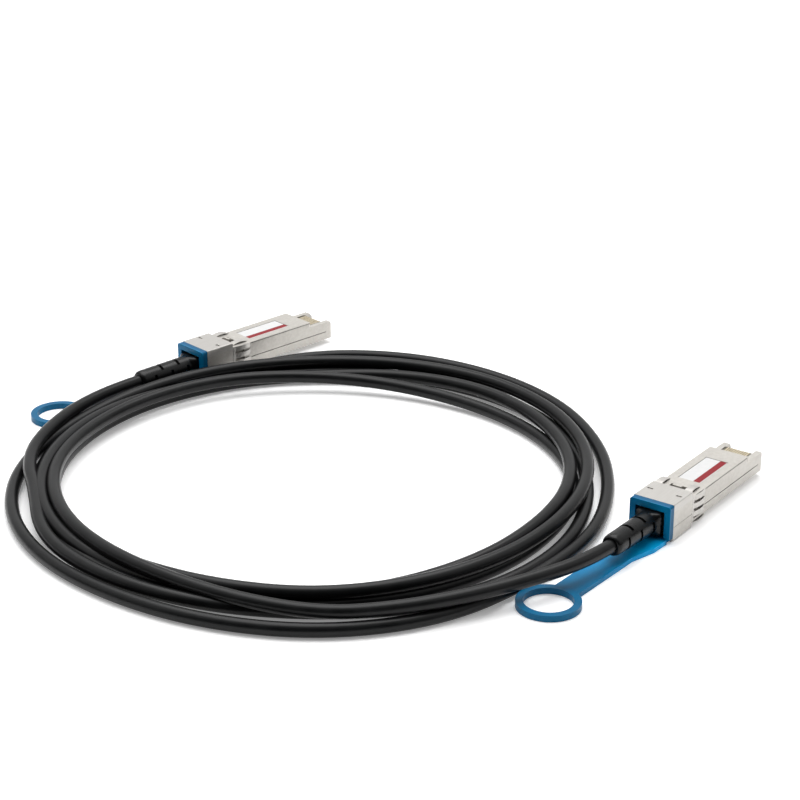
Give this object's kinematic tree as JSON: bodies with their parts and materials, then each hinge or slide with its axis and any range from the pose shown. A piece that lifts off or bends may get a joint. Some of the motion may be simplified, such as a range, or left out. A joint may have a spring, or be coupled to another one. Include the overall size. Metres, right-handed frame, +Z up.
{
  "type": "direct attach copper cable",
  "caption": "Coiled black twinax cable with a metal plug at each end; each plug has a spring collar, a latch boss and a blue pull tab with a finger ring.",
  "frame": {"origin": "middle of the near plug's nose underside, on the surface the cable lies on", "axes": "+X is the near plug's insertion direction, +Z up"},
  "size_m": [0.2034, 0.2254, 0.0123],
  "materials": {
    "shell_metal": "satin, nickel plated die casting",
    "stamped_steel": "satin",
    "blue_plastic": "smooth, slightly glossy",
    "black_jacket": "slightly glossy",
    "boot_rubber": "matte",
    "board": "satin",
    "gold": "polished",
    "chip": "matte",
    "insulation": "matte",
    "label_film": "smooth film with a red stripe"
  },
  "bodies": {
    "cable": {"near_lower_shell": "shell_metal", "near_upper_shell": "shell_metal", "near_nose_cover": "stamped_steel", "near_paddle_card": "board", "near_gold_contacts": "gold", "near_memory_chip": "chip", "near_conductors": "insulation", "near_ferrule": "stamped_steel", "near_spring_collar": "stamped_steel", "near_pivot_pin": "stamped_steel", "near_return_spring": "stamped_steel", "near_strain_boot": "boot_rubber", "near_label": "label_film", "far_lower_shell": "shell_metal", "far_upper_shell": "shell_metal", "far_nose_cover": "stamped_steel", "far_paddle_card": "board", "far_gold_contacts": "gold", "far_memory_chip": "chip", "far_conductors": "insulation", "far_ferrule": "stamped_steel", "far_spring_collar": "stamped_steel", "far_pivot_pin": "stamped_steel", "far_return_spring": "stamped_steel", "far_strain_boot": "boot_rubber", "far_label": "label_film", "near_lead": "black_jacket", "cable_coil": "black_jacket", "far_lead": "black_jacket"},
    "near_tab": {"near_pull_tab": "blue_plastic", "near_latch_slider": "stamped_steel"},
    "near_rocker": {"near_latch_rocker": "stamped_steel"},
    "far_tab": {"far_pull_tab": "blue_plastic", "far_latch_slider": "stamped_steel"},
    "far_rocker": {"far_latch_rocker": "stamped_steel"}
  },
  "joints": [
    {"name": "near_tab_slide", "type": "slide", "parent": "cable", "child": "near_tab", "axis": [-1, 0, 0], "range_m": [0, 0.0022], "stiffness_N_per_m": 400, "springref_m": -0.001},
    {"name": "near_rocker_hinge", "type": "hinge", "parent": "cable", "child": "near_rocker", "pos_m": [0.00145, 0, 0.0104], "axis": [0, 1, 0], "range_deg": [0, 10.5], "deforming": ["near_return_spring"]},
    {"name": "far_tab_slide", "type": "slide", "parent": "cable", "child": "far_tab", "axis": [-0.9825, 0.1865, 0], "range_m": [0, 0.0022], "stiffness_N_per_m": 400, "springref_m": -0.001},
    {"name": "far_rocker_hinge", "type": "hinge", "parent": "cable", "child": "far_rocker", "pos_m": [0.01613, 0.19215, 0.0104], "axis": [0.1865, 0.9825, 0], "range_deg": [0, 10.5], "deforming": ["far_return_spring"]}
  ],
  "couplings": [
    {"joint": "near_rocker_hinge", "follows": "near_tab_slide", "rad_per_m": 79.3},
    {"joint": "far_rocker_hinge", "follows": "far_tab_slide", "rad_per_m": 79.3}
  ]
}
